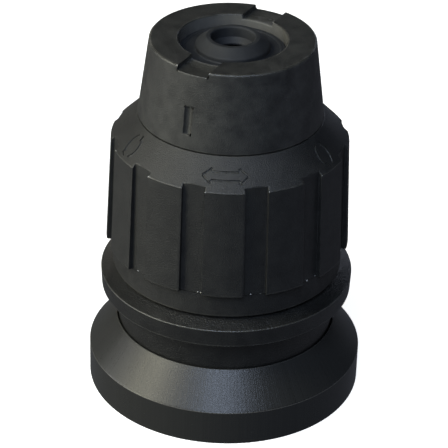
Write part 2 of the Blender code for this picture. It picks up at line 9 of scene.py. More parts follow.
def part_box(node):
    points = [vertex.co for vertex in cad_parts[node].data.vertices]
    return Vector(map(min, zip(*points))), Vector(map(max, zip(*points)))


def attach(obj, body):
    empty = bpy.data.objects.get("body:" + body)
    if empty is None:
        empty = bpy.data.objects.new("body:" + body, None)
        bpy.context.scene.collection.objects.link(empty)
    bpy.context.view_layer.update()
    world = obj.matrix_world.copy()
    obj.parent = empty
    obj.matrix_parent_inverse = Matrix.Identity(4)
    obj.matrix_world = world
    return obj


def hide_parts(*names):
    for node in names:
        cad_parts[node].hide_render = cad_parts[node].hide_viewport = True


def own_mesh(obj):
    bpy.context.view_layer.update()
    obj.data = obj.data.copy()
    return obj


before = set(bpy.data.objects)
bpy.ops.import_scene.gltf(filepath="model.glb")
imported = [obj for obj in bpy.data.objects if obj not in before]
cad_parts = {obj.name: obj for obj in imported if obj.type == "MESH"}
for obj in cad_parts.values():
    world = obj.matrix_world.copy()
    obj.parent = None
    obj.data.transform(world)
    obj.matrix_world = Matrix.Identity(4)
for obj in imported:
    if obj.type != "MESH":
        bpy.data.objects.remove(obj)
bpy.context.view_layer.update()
mm = 0.001  # every length below is in millimetres
print("frame loaded:", len(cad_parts), "nodes")

edgeValues = {
    "guard": 0.4,  # how far past an arc its unworn point stands, as a share of the rounding
    "merge": 0.004,  # points nearer than this become one after a cut
    "roundFrom": 35,  # degrees: a sharper edge than this is rounded after a cut
    "outerBend": 0.15,  # radians: a rounded corner that bends outwards by more than this is worn, and painted paler as a highlight
    "smoothTo": 40,  # degrees: an edge up to this is shaded smooth
}
wearAndHighlightValues = {
    # what the wear and highlight attribute means on nylon: 0 is as moulded; rubbed edges are worn and also
    # painted paler as a highlight, and the recess wall's value is a painted highlight
    "rubbedAndHighlit": 1.0, "paintedHighlight": 1.7, "flash": 4.0, "paleFrom": 1.5, "paleTo": 3.0,
}


def radial(azimuth, radius, height=0.0):
    # azimuth is measured from -Y towards +X
    return Vector((radius * math.sin(azimuth), -radius * math.cos(azimuth), height)) * mm


def roundCorners(corners, steps=4):
    # corners are (radius, height, rounding) round a closed outline, and points come back with their wear and
    # highlight value:
    # outer arcs are rubbed and painted paler as a highlight, and an unworn point past each end of an arc
    # keeps this off the flats
    area = sum(a[0] * b[1] - b[0] * a[1] for a, b in zip(corners, corners[1:] + corners[:1]))
    points = []
    for i, (radius, height, rounding) in enumerate(corners):
        here = Vector((radius, height))
        if rounding == 0:
            points.append((here, 0.0))
            continue
        back = (Vector(corners[i - 1][:2]) - here).normalized()
        ahead = (Vector(corners[(i + 1) % len(corners)][:2]) - here).normalized()
        halfAngle = back.angle(ahead) / 2
        centre = here + (back + ahead).normalized() * rounding / math.sin(halfAngle)
        start = here + back * rounding / math.tan(halfAngle) - centre
        end = here + ahead * rounding / math.tan(halfAngle) - centre
        wornAndHighlight = wearAndHighlightValues["rubbedAndHighlit"] if (back.x * ahead.y - back.y * ahead.x) * area < 0 else 0.0
        points.append((centre + start + back * rounding * edgeValues["guard"], 0.0))
        for step in range(steps + 1):
            spoke = start.lerp(end, step / steps).normalized() * rounding
            points.append((centre + spoke, wornAndHighlight))
        points.append((centre + end + ahead * rounding * edgeValues["guard"], 0.0))
    return points


def ringGroove(wall, floor, start, end):
    # a square groove in a wall, in the order in which the outline passes it
    return [(wall, start, 0), (floor, start, 0), (floor, end, 0), (wall, end, 0)]


def toObject(name, shape):
    mesh = bpy.data.meshes.new(name)
    shape.to_mesh(mesh)
    shape.free()
    piece = bpy.data.objects.new(name, mesh)
    bpy.context.scene.collection.objects.link(piece)
    return piece


def turned(name, corners, segments=240, steps=4, loops=None):
    # spins the outline, and cuts level loops (lowest, highest and spacing) where carving needs short faces
    shape = bmesh.new()
    wearAndHighlight = shape.verts.layers.float.new("wearAndHighlight")
    outline = []
    for place, wornAndHighlight in roundCorners(corners, steps):
        vert = shape.verts.new((place.x * mm, 0, place.y * mm))
        vert[wearAndHighlight] = wornAndHighlight
        outline.append(vert)
    edges = [shape.edges.new((vert, outline[i - 1])) for i, vert in enumerate(outline)]
    bmesh.ops.spin(
        shape, geom=outline + edges, cent=(0, 0, 0), axis=(0, 0, 1), angle=math.tau, steps=segments,
        use_merge=True,
    )
    if loops:
        low, high, spacing = loops
        for i in range(int((high - low) / spacing) + 1):
            geometry = shape.verts[:] + shape.edges[:] + shape.faces[:]
            level = (0, 0, (low + i * spacing) * mm)
            bmesh.ops.bisect_plane(shape, geom=geometry, dist=0.01 * mm, plane_co=level, plane_no=(0, 0, 1))
    bmesh.ops.recalc_face_normals(shape, faces=shape.faces)
    return toObject(name, shape)


def addTo(tools, shape):
    mesh = bpy.data.meshes.new("part")
    shape.to_mesh(mesh)
    shape.free()
    tools.from_mesh(mesh)
    bpy.data.meshes.remove(mesh)


def blockTool(shape, size, azimuth, radius, height, lean=0.0, rounding=0.0):
    # a box whose middle is at that radius, leaned with the surface that it cuts
    # rounding is for its two upper corners
    box = bmesh.new()
    bmesh.ops.create_cube(box, size=1, matrix=Matrix.Diagonal((*(side * mm for side in size), 1)))
    if rounding:
        corners = [
            edge for edge in box.edges
            if all(vert.co.z > 0 for vert in edge.verts) and edge.verts[0].co.x == edge.verts[1].co.x
        ]
        bmesh.ops.bevel(
            box, geom=corners, offset=rounding * mm, offset_type="OFFSET", affect="EDGES", segments=4,
            profile=0.5, material=-1,
        )
    placed = Matrix.Translation(radial(azimuth, radius, height)) @ Matrix.Rotation(azimuth, 4, "Z")
    bmesh.ops.transform(box, matrix=placed @ Matrix.Rotation(lean, 4, "X"), verts=box.verts)
    addTo(shape, box)


def drillTool(shape, radius, length, azimuth, middle, height, sides=40):
    # a round tool that points out from the axis
    placed = Matrix.Translation(radial(azimuth, middle, height)) @ Matrix.Rotation(azimuth, 4, "Z")
    placed = placed @ Matrix.Rotation(math.pi / 2, 4, "X")
    bmesh.ops.create_cone(
        shape, cap_ends=True, segments=sides, radius1=radius * mm, radius2=radius * mm, depth=length * mm,
        matrix=placed,
    )


def combine(piece, tool, operation, crossing=False):
    # crossing is for pieces whose own parts run through each other
    cut = piece.modifiers.new("Cut", "BOOLEAN")
    cut.object = tool
    cut.operation = operation
    cut.solver = "EXACT"
    cut.use_self = crossing
    carved = bpy.data.meshes.new_from_object(piece.evaluated_get(bpy.context.evaluated_depsgraph_get()))
    piece.modifiers.clear()
    piece.data = carved


def carve(piece, shape, operation="DIFFERENCE", crossing=False):
    # a tool with crossing parts is made one solid first, by joining it to a speck that stands clear of it
    speckSize, speckHeight = 0.1, 60
    bmesh.ops.recalc_face_normals(shape, faces=shape.faces)
    tool = toObject("tool", shape)
    if crossing:
        speck = bmesh.new()
        away = Matrix.Translation((0, 0, speckHeight * mm))
        bmesh.ops.create_cube(speck, size=speckSize * mm, matrix=away)
        speckObject = toObject("speck", speck)
        combine(tool, speckObject, "UNION", crossing=True)
        bpy.data.objects.remove(speckObject)
    combine(piece, tool, operation)
    bpy.data.objects.remove(tool)


def softenEdges(piece, width):
    # rounds the edges that the cuts left, and marks the outer ones as rubbed, which also paints them paler as
    # a highlight
    shape = bmesh.new()
    shape.from_mesh(piece.data)
    wearAndHighlight = shape.verts.layers.float["wearAndHighlight"]
    merge, bend = edgeValues["merge"] * mm, edgeValues["outerBend"]
    roundFrom = math.radians(edgeValues["roundFrom"])
    bmesh.ops.remove_doubles(shape, verts=shape.verts, dist=merge)
    bmesh.ops.dissolve_degenerate(shape, dist=merge, edges=shape.edges)
    sharp = [
        edge for edge in shape.edges
        if len(edge.link_faces) == 2 and abs(edge.calc_face_angle_signed()) > roundFrom
    ]
    made = bmesh.ops.bevel(
        shape, geom=sharp, offset=width * mm, offset_type="OFFSET", affect="EDGES", segments=2, profile=0.5,
        material=-1, clamp_overlap=False,
    )
    bmesh.ops.recalc_face_normals(shape, faces=shape.faces)
    rounded = set(made["faces"])
    for vert in made["verts"]:
        bends = [edge.calc_face_angle_signed(0) for edge in vert.link_edges]
        if rounded.issuperset(vert.link_faces) and max(bends) > bend and min(bends) > -bend:
            vert[wearAndHighlight] = wearAndHighlightValues["rubbedAndHighlit"]
    shape.to_mesh(piece.data)
    shape.free()


def finishPiece(piece, body, material, slot, *nodes):
    piece.data.materials.clear()
    piece.data.materials.append(material)
    piece.data.shade_smooth()
    piece.data.set_sharp_from_angle(angle=math.radians(edgeValues["smoothTo"]))
    weighted = piece.modifiers.new("Weighted normals", "WEIGHTED_NORMAL")
    weighted.keep_sharp = True
    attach(piece, body)
    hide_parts(*nodes)
    print("made", piece.name)


def toLinear(hexColour):
    channels = [int(hexColour[i:i + 2], 16) / 255 for i in (1, 3, 5)]
    return (*(c / 12.92 if c <= 0.04045 else ((c + 0.055) / 1.055) ** 2.4 for c in channels), 1.0)


def newMaterial(name):
    material = bpy.data.materials.new(name)
    material.use_nodes = True
    return material, material.node_tree.nodes["Principled BSDF"]


def addNode(material, kind, inputs, **settings):
    # a Mix node's sockets go by number: 0 is its factor, 2 and 3 its plain values, 6 and 7 its colours
    node = material.node_tree.nodes.new(kind)
    for name, value in settings.items():
        setattr(node, name, value)
    for socket, value in inputs.items():
        if isinstance(value, bpy.types.NodeSocket):
            material.node_tree.links.new(value, node.inputs[socket])
        else:
            node.inputs[socket].default_value = value
    return node


def connect(material, output, target):
    material.node_tree.links.new(output, target)


def mouldedNylon(name, look):
    # glass-filled nylon, moulded against a fine spark-eroded tool:
    # matt, with a dry grain and paler edges, partly worn and partly a painted highlight
    material, shader = newMaterial(name)
    place = addNode(material, "ShaderNodeTexCoord", {}).outputs["Object"]
    cloud = addNode(material, "ShaderNodeTexNoise", {
        "Vector": place, "Scale": 1 / (look["cloud"] * mm), "Detail": 5, "Roughness": 0.6,
    })
    grain = addNode(material, "ShaderNodeTexNoise", {
        "Vector": place, "Scale": 1 / (look["grain"] * mm), "Detail": 3, "Roughness": 0.55,
    })
    patches = addNode(material, "ShaderNodeMapRange", {
        "Value": cloud.outputs["Fac"], "From Min": 0.32, "From Max": 0.68,
    })
    base = addNode(material, "ShaderNodeMix", {
        0: patches.outputs["Result"], 6: toLinear(look["deep"]), 7: toLinear(look["pale"]),
    }, data_type="RGBA")
    wearAndHighlight = addNode(material, "ShaderNodeAttribute", {}, attribute_name="wearAndHighlight")
    rubAndHighlight = addNode(material, "ShaderNodeMath", {
        0: wearAndHighlight.outputs["Fac"], 1: cloud.outputs["Fac"],
    }, operation="MULTIPLY")
    # the wear and highlight value pales the colour: on edges it is wear with a painted highlight, on the
    # recess wall a painted highlight
    colour = addNode(material, "ShaderNodeMix", {
        0: rubAndHighlight.outputs[0], 6: base.outputs[2], 7: toLinear(look["wornAndHighlight"]),
    }, data_type="RGBA")
    low, high = look["roughness"]
    rough = addNode(material, "ShaderNodeMapRange", {
        "Value": grain.outputs["Fac"], "From Min": 0.3, "From Max": 0.7, "To Min": low, "To Max": high,
    })
    polished = addNode(material, "ShaderNodeMix", {
        0: wearAndHighlight.outputs["Fac"], 2: rough.outputs["Result"], 3: look["polished"],
    })
    # a value past paleFrom blends towards the flash colour: the flash specks, and a little of the recess
    # wall's painted highlight
    flash = addNode(material, "ShaderNodeMapRange", {
        "Value": wearAndHighlight.outputs["Fac"], "From Min": wearAndHighlightValues["paleFrom"], "From Max": wearAndHighlightValues["paleTo"],
    })
    whole = addNode(material, "ShaderNodeMix", {
        0: flash.outputs["Result"], 6: colour.outputs[2], 7: toLinear(look["flash"]),
    }, data_type="RGBA")
    bump = addNode(material, "ShaderNodeBump", {
        "Height": grain.outputs["Fac"], "Strength": look["relief"], "Distance": 0.16 * mm,
    })
    connect(material, whole.outputs[2], shader.inputs["Base Color"])
    connect(material, polished.outputs[0], shader.inputs["Roughness"])
    connect(material, bump.outputs["Normal"], shader.inputs["Normal"])
    shader.inputs["IOR"].default_value = look["ior"]
    return material


def turnedAcetal():
    # acetal copolymer, skimmed on the lathe and stoned:
    # a satin sheen broken by streaks that run down the flare
    look = {
        "deep": "#262624", "pale": "#323230", "wornAndHighlight": "#65635d", "roughness": (0.25, 0.42), "ior": 1.48,
        "flare": 28, "streak": 0.35, "grain": 0.3,  # the flare's middle radius, and a streak's width there
        "rim": 8.1, "fade": 0.4, "rimStreak": 0.1,  # the streaks fade out at the top of the rim
    }
    material, shader = newMaterial("turnedAcetal")
    place = addNode(material, "ShaderNodeTexCoord", {}).outputs["Object"]
    flat = addNode(material, "ShaderNodeVectorMath", {0: place, 1: (1, 1, 0)}, operation="MULTIPLY")
    spoke = addNode(material, "ShaderNodeVectorMath", {0: flat.outputs[0]}, operation="NORMALIZE")
    streaks = addNode(material, "ShaderNodeTexNoise", {
        "Vector": spoke.outputs[0], "Scale": look["flare"] / look["streak"], "Detail": 4, "Roughness": 0.65,
    })
    grain = addNode(material, "ShaderNodeTexNoise", {
        "Vector": place, "Scale": 1 / (look["grain"] * mm), "Detail": 3, "Roughness": 0.6,
    })
    height = addNode(material, "ShaderNodeSeparateXYZ", {"Vector": place}).outputs["Z"]
    flare = addNode(material, "ShaderNodeMapRange", {
        "Value": height, "From Min": look["rim"] * mm, "From Max": (look["rim"] + look["fade"]) * mm,
        "To Min": look["rimStreak"],
    })
    stroked = addNode(material, "ShaderNodeMath", {
        0: streaks.outputs["Fac"], 1: flare.outputs["Result"],
    }, operation="MULTIPLY")
    both = addNode(material, "ShaderNodeMath", {
        0: stroked.outputs[0], 1: grain.outputs["Fac"],
    }, operation="ADD")
    base = addNode(material, "ShaderNodeMix", {
        0: streaks.outputs["Fac"], 6: toLinear(look["deep"]), 7: toLinear(look["pale"]),
    }, data_type="RGBA")
    wearAndHighlight = addNode(material, "ShaderNodeAttribute", {}, attribute_name="wearAndHighlight")
    rubAndHighlight = addNode(material, "ShaderNodeMath", {
        0: wearAndHighlight.outputs["Fac"], 1: grain.outputs["Fac"],
    }, operation="MULTIPLY")
    # the outer edges are paled, partly as wear and partly as a painted highlight
    colour = addNode(material, "ShaderNodeMix", {
        0: rubAndHighlight.outputs[0], 6: base.outputs[2], 7: toLinear(look["wornAndHighlight"]),
    }, data_type="RGBA")
    low, high = look["roughness"]
    rough = addNode(material, "ShaderNodeMapRange", {
        "Value": both.outputs[0], "From Min": 0.7, "From Max": 1.3, "To Min": low, "To Max": high,
    })
    bump = addNode(material, "ShaderNodeBump", {
        "Height": both.outputs[0], "Strength": 0.6, "Distance": 0.06 * mm,
    })
    connect(material, colour.outputs[2], shader.inputs["Base Color"])
    connect(material, rough.outputs["Result"], shader.inputs["Roughness"])
    connect(material, bump.outputs["Normal"], shader.inputs["Normal"])
    shader.inputs["IOR"].default_value = look["ior"]
    return material


def nitrileRubber():
    # moulded nitrile: soft and matt, with a faint bloom
    look = {"deep": "#131415", "bloom": "#2b2d30", "roughness": (0.60, 0.85), "cloud": 3.0, "grain": 0.3}
    material, shader = newMaterial("nitrileRubber")
    place = addNode(material, "ShaderNodeTexCoord", {}).outputs["Object"]
    cloud = addNode(material, "ShaderNodeTexNoise", {
        "Vector": place, "Scale": 1 / (look["cloud"] * mm), "Detail": 6, "Roughness": 0.65,
    })
    grain = addNode(material, "ShaderNodeTexNoise", {
        "Vector": place, "Scale": 1 / (look["grain"] * mm), "Detail": 2, "Roughness": 0.5,
    })
    colour = addNode(material, "ShaderNodeMix", {
        0: cloud.outputs["Fac"], 6: toLinear(look["deep"]), 7: toLinear(look["bloom"]),
    }, data_type="RGBA")
    low, high = look["roughness"]
    rough = addNode(material, "ShaderNodeMapRange", {
        "Value": cloud.outputs["Fac"], "From Min": 0.3, "From Max": 0.7, "To Min": low, "To Max": high,
    })
    bump = addNode(material, "ShaderNodeBump", {
        "Height": grain.outputs["Fac"], "Strength": 0.25, "Distance": 0.05 * mm,
    })
    connect(material, colour.outputs[2], shader.inputs["Base Color"])
    connect(material, rough.outputs["Result"], shader.inputs["Roughness"])
    connect(material, bump.outputs["Normal"], shader.inputs["Normal"])
    return material


def steelFinish(name, look):
    # ground or drawn steel: fine marks round the axis, with the colour of its heat treatment
    material, shader = newMaterial(name)
    place = addNode(material, "ShaderNodeTexCoord", {}).outputs["Object"]
    rings = addNode(material, "ShaderNodeMapping", {"Vector": place, "Scale": (0.05, 0.05, 1)})
    marks = addNode(material, "ShaderNodeTexNoise", {
        "Vector": rings.outputs["Vector"], "Scale": 1 / (look["mark"] * mm), "Detail": 3, "Roughness": 0.6,
    })
    cloud = addNode(material, "ShaderNodeTexNoise", {
        "Vector": place, "Scale": 1 / (look["cloud"] * mm), "Detail": 5, "Roughness": 0.6,
    })
    colour = addNode(material, "ShaderNodeMix", {
        0: cloud.outputs["Fac"], 6: toLinear(look["deep"]), 7: toLinear(look["pale"]),
    }, data_type="RGBA")
    low, high = look["roughness"]
    rough = addNode(material, "ShaderNodeMapRange", {
        "Value": marks.outputs["Fac"], "From Min": 0.3, "From Max": 0.7, "To Min": low, "To Max": high,
    })
    bump = addNode(material, "ShaderNodeBump", {
        "Height": marks.outputs["Fac"], "Strength": look["relief"], "Distance": 0.02 * mm,
    })
    connect(material, colour.outputs[2], shader.inputs["Base Color"])
    connect(material, rough.outputs["Result"], shader.inputs["Roughness"])
    connect(material, bump.outputs["Normal"], shader.inputs["Normal"])
    shader.inputs["Metallic"].default_value = 1.0
    return material


# grain, cloud and mark are sizes in millimetres, drawn coarser than the real ones so that they show
# the nose, mottled with dust
noseNylon = mouldedNylon("noseNylon", {
    "deep": "#1c1c1b", "pale": "#353532", "wornAndHighlight": "#4b4a45", "flash": "#c4c2bc",
    "roughness": (0.38, 0.66), "polished": 0.24, "ior": 1.53, "grain": 0.2, "relief": 0.7, "cloud": 3.0,
})
# the grip, dry and even
gripNylon = mouldedNylon("gripNylon", {
    "deep": "#191918", "pale": "#252523", "wornAndHighlight": "#4b4a45", "flash": "#c4c2bc",
    "roughness": (0.40, 0.66), "polished": 0.24, "ior": 1.53, "grain": 0.2, "relief": 0.8, "cloud": 3.0,
})
# the sleeve, smoother and handled to a shine
sleeveNylon = mouldedNylon("sleeveNylon", {
    "deep": "#171716", "pale": "#232321", "wornAndHighlight": "#55544f", "flash": "#c4c2bc",
    "roughness": (0.26, 0.42), "polished": 0.22, "ior": 1.62, "grain": 0.35, "relief": 0.9, "cloud": 3.0,
})
acetal = turnedAcetal()
rubber = nitrileRubber()
# chemically blackened tool steel, oily and dark
blackOxide = steelFinish("blackOxideSteel", {
    "deep": "#343231", "pale": "#4a4745", "roughness": (0.30, 0.50),
    "mark": 0.25, "cloud": 4.0, "relief": 0.3,
})
# hardened and ground, bright grey
groundSteel = steelFinish("groundHardenedSteel", {
    "deep": "#a2a3a4", "pale": "#bdbdbc", "roughness": (0.18, 0.34),
    "mark": 0.2, "cloud": 6.0, "relief": 0.25,
})
# oil-tempered spring wire, straw and blue-grey
springWire = steelFinish("oilTemperedWire", {
    "deep": "#5f5a55", "pale": "#85807a", "roughness": (0.28, 0.44),
    "mark": 0.4, "cloud": 2.0, "relief": 0.2,
})
# lapped bearing balls, almost a mirror
lappedSteel = steelFinish("lappedBearingSteel", {
    "deep": "#c4c5c6", "pale": "#d3d3d2", "roughness": (0.05, 0.10),
    "mark": 0.5, "cloud": 3.0, "relief": 0.02,
})
print("materials ready")


noseValues = {
    "face": 84.6, "faceRadius": 18.05, "bottom": 66.78, "bottomRadius": 20.4, "loops": (68.0, 84.0, 1.0),
    "recess": 11.85, "recessFloor": 77.3, "bore": 9.2, "shoulder": 69.5,
    "spigot": 18.0, "spigotBore": 14.7, "spigotEnd": 61.5,
    "detentGroove": (16.9, 65.9, 64.7), "circlipGroove": (17.0, 63.7, 62.4),  # floor, top and bottom
    "channel": (7.4, 1.1), "channelTool": (44, 4),  # width and depth, then the tool's length and thickness
    "mark": (1.0, 0.75, 6.2, 73.3),  # the mark's round tool, depth, height and middle
    "edge": 0.14, "highlightBand": (0.15, 0.2),  # how near the recess wall the painted highlight lies, and how far below the face
}


def makeNoseCap(values):
    face, bottom, spigot, recess = (values[key] for key in ("face", "bottom", "spigot", "recess"))
    end, shoulder, floor = values["spigotEnd"], values["shoulder"], values["recessFloor"]
    cap = turned("nose_shell", [
        (recess, face, 0.25), (values["faceRadius"], face, 0.45), (values["bottomRadius"], bottom, 0.3),
        (spigot, bottom, 0.1), *ringGroove(spigot, *values["detentGroove"]),
        *ringGroove(spigot, *values["circlipGroove"]), (spigot, end, 0.2), (values["spigotBore"], end, 0.2),
        (values["spigotBore"], shoulder, 0.3), (values["bore"], shoulder, 0.2), (values["bore"], floor, 0.2),
        (recess, floor, 0.3),
    ], loops=values["loops"])
    tools = bmesh.new()
    width, depth = values["channel"]
    length, thickness = values["channelTool"]
    blockTool(tools, (width, length, thickness), 0, 0, face - depth + thickness / 2)
    radius, depth, height, middle = values["mark"]
    lean = math.atan2(values["bottomRadius"] - values["faceRadius"], face - bottom)
    surface = values["bottomRadius"] - (middle - bottom) * math.tan(lean)
    placed = Matrix.Translation(radial(0, surface + radius - depth, middle)) @ Matrix.Rotation(-lean, 4, "X")
    bmesh.ops.create_cone(
        tools, cap_ends=True, segments=32, radius1=radius * mm, radius2=radius * mm, depth=height * mm,
        matrix=placed,
    )
    carve(cap, tools)
    softenEdges(cap, values["edge"])
    # the recess wall is painted pale all round, a painted highlight for the light that falls on it
    near, below = values["highlightBand"]
    for vert, wornAndHighlight in zip(cap.data.vertices, cap.data.attributes["wearAndHighlight"].data):
        if abs(vert.co.xy.length / mm - recess) < near and vert.co.z < (face - below) * mm:
            wornAndHighlight.value = wearAndHighlightValues["paintedHighlight"]
    return cap


finishPiece(makeNoseCap(noseValues), "holder", noseNylon, "black_nylon", "nose_cap")


sealValues = {
    "lip": 4.7, "lipRim": 5.8, "top": 85.0, "boss": 8.1, "shoulder": 83.2, "floor": 82.1,
    "bead": 10.5, "beadFoot": 0.4, "beadCrest": 0.15, "beadHeight": 0.16, "flange": 11.5, "bottom": 80.4,
    "hollow": 6.8, "hollowShoulder": (6.4, 81.7), "hollowTop": (5.3, 82.0),
    "skin": 3.9, "skinHeights": (80.9, 81.4), "throat": 82.6,
}


def makeDustSeal(values):
    floor, top, lip, boss = (values[key] for key in ("floor", "top", "lip", "boss"))
    bead, foot, crest = values["bead"], values["beadFoot"], values["beadCrest"]
    raised, bottom = floor + values["beadHeight"], values["bottom"]
    skinBottom, skinTop = values["skinHeights"]
    return turned("dust_seal_rubber", [
        (lip, top, 0.42), (values["lipRim"], top, 0.42), (boss, values["shoulder"], 0.6), (boss, floor, 0.3),
        (bead - foot, floor, 0.1), (bead - crest, raised, 0.08), (bead + crest, raised, 0.08),
        (bead + foot, floor, 0.1), (values["flange"], floor, 0.35), (values["flange"], bottom, 0.2),
        (values["hollow"], bottom, 0.2), (*values["hollowShoulder"], 0.3), (*values["hollowTop"], 0.3),
        (values["skin"], skinBottom, 0.12), (values["skin"], skinTop, 0.12), (lip, values["throat"], 0.15),
    ])


finishPiece(makeDustSeal(sealValues), "holder", rubber, "black_rubber", "dust_seal")


collarValues = {
    "coneTop": (20.45, 66.7), "coneBottom": (26.2, 60.9), "landBottom": (27.2, 35.7),
    "lip": 25.7, "bottom": 29.9, "loops": (34.0, 66.4, 0.9), "edge": 0.16,
    # the hollow steps, each a radius and a height
    "bore": (18.3, 63.9), "clipRoom": (19.8, 61.0), "tubeRoom": (21.8, 58.5), "camRoom": (22.9, 47.0),
    "skirt": (24.7, 39.0),
    "lands": 12, "rest": -4.0, "slotWidth": 5.0, "slotDepth": 4.0, "slotFloor": (25.95, 25.25),
    "slotHeights": (35.2, 64.0), "slotRounding": 0.7,
    "camSlot": (5.6, 4, 8.1), "camSlotPlace": (22.1, 42.95), "camSlotEvery": 4,
    "signEvery": 4, "signTurn": -0.2, "signDrop": 0.3,
    "lineRadius": 0.28, "lineSink": 0.08, "lineStep": 0.45,
    "arrow": (9.8, 3.5, 1.9, 1.9),  # length, head's height and length, shaft's height
    "oval": (1.75, 2.75), "ovalAngles": (-66, 52), "ovalSteps": 18,
    "head": (1.1, 0.75, 0.15),  # how far it reaches ahead of, beside and behind the line's end
    "headSink": 0.3, "headDepth": 0.8,
    "flashSeed": 5, "flashRounds": 3, "flashCorner": 0.3, "flashSpread": 1.6, "flashPlace": (25.9, 35.75),
    "flashLift": 0.25, "flashSize": (0.12, 0.2), "flashSquash": 0.7, "flashUneven": 0.1, "slotRadius": 26,
}


def doubleArrow(length, headHeight, headLength, shaftHeight):
    tip, neck, wing, side = length / 2, length / 2 - headLength, headHeight / 2, shaftHeight / 2
    right = [(neck, side), (neck, wing), (tip, 0), (neck, -wing), (neck, -side)]
    return right + [(-u, v) for u, v in reversed(right)]


def halfOval(values, flip):
    halfWidth, halfHeight = values["oval"]
    first, last = values["ovalAngles"]
    points = []
    for i in range(values["ovalSteps"] + 1):
        angle = math.radians(first + (last - first) * i / values["ovalSteps"])
        points.append((halfWidth * math.cos(angle), halfHeight * math.sin(angle)))
    return [(-u, -v) for u, v in points] if flip else points


def wrapOnCone(shape, azimuth, values):
    # x runs round the cone, y up its slope and z out of it
    top, bottom = Vector(values["coneTop"]), Vector(values["coneBottom"])
    up = (top - bottom).normalized()
    out = Vector((up.y, -up.x))
    middle = (top + bottom) / 2
    for vert in shape.verts:
        u, v, depth = vert.co / mm
        place = middle + up * (v - values["signDrop"]) + out * depth
        vert.co = radial(azimuth + u / middle.x, place.x, place.y)


def engraveLine(tools, points, azimuth, values):
    # a round cutter drawn along the line, sunk a little under the cone
    line = bpy.data.curves.new("line", "CURVE")
    line.dimensions = "3D"
    line.bevel_depth = values["lineRadius"] * mm
    line.bevel_resolution = 2
    line.use_fill_caps = True
    spline = line.splines.new("POLY")
    steps = []
    for (u, v), (nextU, nextV) in zip(points, points[1:]):
        count = max(1, round(math.hypot(nextU - u, nextV - v) / values["lineStep"]))
        steps += [(u + (nextU - u) * i / count, v + (nextV - v) * i / count) for i in range(count)]
    steps.append(points[-1])
    spline.points.add(len(steps) - 1)
    for point, (u, v) in zip(spline.points, steps):
        point.co = (u * mm, v * mm, -values["lineSink"] * mm, 1)
    drawn = bpy.data.objects.new("line", line)
    mesh = bpy.data.meshes.new_from_object(drawn)
    shape = bmesh.new()
    shape.from_mesh(mesh)
    bmesh.ops.remove_doubles(shape, verts=shape.verts, dist=0.001 * mm)
    wrapOnCone(shape, azimuth, values)
    addTo(tools, shape)
    bpy.data.objects.remove(drawn)
    bpy.data.meshes.remove(mesh)


def engraveHead(tools, line, azimuth, values):
    # a solid arrow head at the line's end, pressed as deep as the lines
    long, wide, behind = values["head"]
    end, before = Vector(line[-1]), Vector(line[-3])
    ahead = (end - before).normalized()
    across = Vector((-ahead.y, ahead.x))
    points = [
        end + ahead * long, end + across * wide - ahead * behind, end - across * wide - ahead * behind,
    ]
    shape = bmesh.new()
    face = shape.faces.new([shape.verts.new((u * mm, v * mm, -values["headSink"] * mm)) for u, v in points])
    raised = bmesh.ops.extrude_face_region(shape, geom=[face])
    lifted = [item for item in raised["geom"] if isinstance(item, bmesh.types.BMVert)]
    bmesh.ops.translate(shape, verts=lifted, vec=(0, 0, values["headDepth"] * mm))
    wrapOnCone(shape, azimuth, values)
    addTo(tools, shape)


def cutSlots(collar, values):
    low, high = values["slotHeights"]
    floorLow, floorHigh = values["slotFloor"]
    landBottom = values["landBottom"][1]
    lean = math.atan2(floorLow - floorHigh, values["coneBottom"][1] - landBottom)
    middle = (low + high) / 2
    floor = floorLow - (middle - landBottom) * math.tan(lean)
    depth = values["slotDepth"]
    size = (values["slotWidth"], depth, (high - low) / math.cos(lean))
    radius, rounding = floor + depth / 2 / math.cos(lean), values["slotRounding"]
    pitch, rest = math.tau / values["lands"], math.radians(values["rest"])
    tools = bmesh.new()
    for number in range(values["lands"]):
        azimuth = rest + pitch * (number + 0.5)
        blockTool(tools, size, azimuth, radius, middle, -lean, rounding)
    # inside, the slots that carry the cam ring's lugs
    for number in range(0, values["lands"], values["camSlotEvery"]):
        blockTool(tools, values["camSlot"], rest + pitch * number, *values["camSlotPlace"])
    carve(collar, tools)
    softenEdges(collar, values["edge"])


def engraveSigns(collar, values):
    # a double arrow and a pair of turning arrows stand on every second land in turn
    pitch = math.tau / values["lands"]
    lines, heads = bmesh.new(), bmesh.new()
    for number in range(1, values["lands"], values["signEvery"]):
        azimuth = math.radians(values["rest"]) + pitch * number + math.radians(values["signTurn"])
        arrow = doubleArrow(*values["arrow"])
        for side in zip(arrow, arrow[1:] + arrow[:1]):
            engraveLine(lines, side, azimuth, values)
        azimuth += 2 * pitch
        for flip in (False, True):
            line = halfOval(values, flip)
            engraveLine(lines, line, azimuth, values)
            engraveHead(heads, line, azimuth, values)
    carve(collar, lines, crossing=True)
    carve(collar, heads)


def addFlash(collar, values):
    # pale specks of moulding flash, left in the lower corners of the slots
    shape = bmesh.new()
    shape.from_mesh(collar.data)
    wearAndHighlight = shape.verts.layers.float["wearAndHighlight"]
    chance = random.Random(values["flashSeed"])
    lands, pitch = values["lands"], math.tau / values["lands"]
    radius, height = values["flashPlace"]
    smallest, growth = values["flashSize"]
    for number in range(lands * values["flashRounds"]):
        azimuth = math.radians(values["rest"]) + pitch * (number % lands + 0.5)
        inward = values["flashSpread"] * (number // lands) * chance.random()
        across = values["slotWidth"] / 2 - values["flashCorner"] - inward
        lift = values["flashLift"] * chance.random()
        placed = Matrix.Translation(radial(azimuth + across / values["slotRadius"], radius, height + lift))
        size = smallest + growth * chance.random() ** 2
        squashed = Matrix.Diagonal((size, size, size * values["flashSquash"], 1))
        placed = placed @ Matrix.Rotation(azimuth, 4, "Z") @ squashed
        made = bmesh.ops.create_icosphere(shape, subdivisions=2, radius=mm, matrix=placed)
        for vert in made["verts"]:
            nudge = Vector((chance.random() - 0.5, chance.random() - 0.5, chance.random() - 0.5))
            vert.co += nudge * values["flashUneven"] * mm
            vert[wearAndHighlight] = wearAndHighlightValues["flash"]
    shape.to_mesh(collar.data)
    shape.free()


